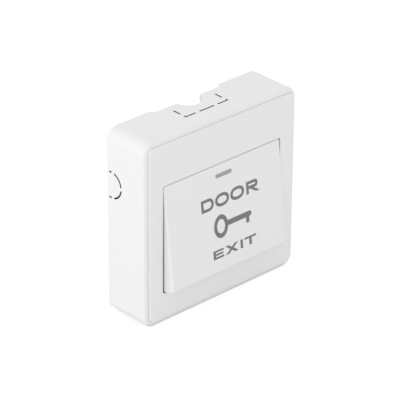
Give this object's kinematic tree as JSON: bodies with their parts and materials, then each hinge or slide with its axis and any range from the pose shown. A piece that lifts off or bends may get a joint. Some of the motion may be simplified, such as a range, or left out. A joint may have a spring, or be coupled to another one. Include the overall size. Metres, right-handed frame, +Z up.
{
  "type": "door exit button",
  "caption": "Square surface wall box with a nested face plate and a wide leaning press plate, hinged at its top, that works a changeover switch to release a door.",
  "frame": {"origin": "centre of the box's rear face, on the wall plane", "axes": "+Y into the wall, so the front faces -Y; +Z up; +X to the right as seen from the front"},
  "size_m": [0.086, 0.0292, 0.086],
  "materials": {
    "white_shell": "fine satin, moulded",
    "white_press": "satin, with grey print",
    "grey_lens": "satin, tinted",
    "dark_frame": "matte, moulded",
    "brass": "knurled",
    "zinc_steel": "zinc plated",
    "tinned_copper": "tinned",
    "spring_steel": "drawn wire",
    "board_laminate": "solder mask",
    "switch_black": "matte",
    "switch_grey": "matte",
    "plunger_red": "matte",
    "contact_bronze": "bright rolled strip",
    "terminal_green": "matte",
    "lamp_epoxy": "clear tinted epoxy",
    "ceramic_black": "matte"
  },
  "bodies": {
    "base": {"back_box": "white_shell", "thread_inserts": "brass", "mounting_frame": "dark_frame", "frame_screws": "zinc_steel", "face_plate": "white_shell", "return_springs": "spring_steel", "circuit_board": "board_laminate", "board_screws": "zinc_steel", "switch_base": "switch_black", "switch_cover": "switch_grey", "snap_blade": "contact_bronze", "common_terminal": "contact_bronze", "normally_open_terminal": "contact_bronze", "normally_closed_terminal": "contact_bronze", "terminal_block": "terminal_green", "wire_clamps": "zinc_steel", "clamp_screws": "zinc_steel", "solder_pins": "tinned_copper", "lamp": "lamp_epoxy", "lamp_legs": "tinned_copper", "chip_resistor": "ceramic_black", "protection_diode": "switch_black"},
    "press": {"press_plate": "white_press", "indicator_lens": "grey_lens"},
    "plunger": {"switch_plunger": "plunger_red"}
  },
  "joints": [
    {"name": "press_hinge", "type": "hinge", "parent": "base", "child": "press", "pos_m": [0, -0.01885, 0.0173], "axis": [1, 0, 0], "range_deg": [0, 4.5], "stiffness_Nm_per_rad": 0.9, "springref_deg": -3.44, "deforming": ["return_springs"]},
    {"name": "plunger_slide", "type": "slide", "parent": "base", "child": "plunger", "axis": [0, 1, 0], "range_m": [0, 0.0015], "deforming": ["snap_blade"]}
  ],
  "couplings": [
    {"joint": "plunger_slide", "follows": "press_hinge", "m_per_rad": 0.019}
  ]
}
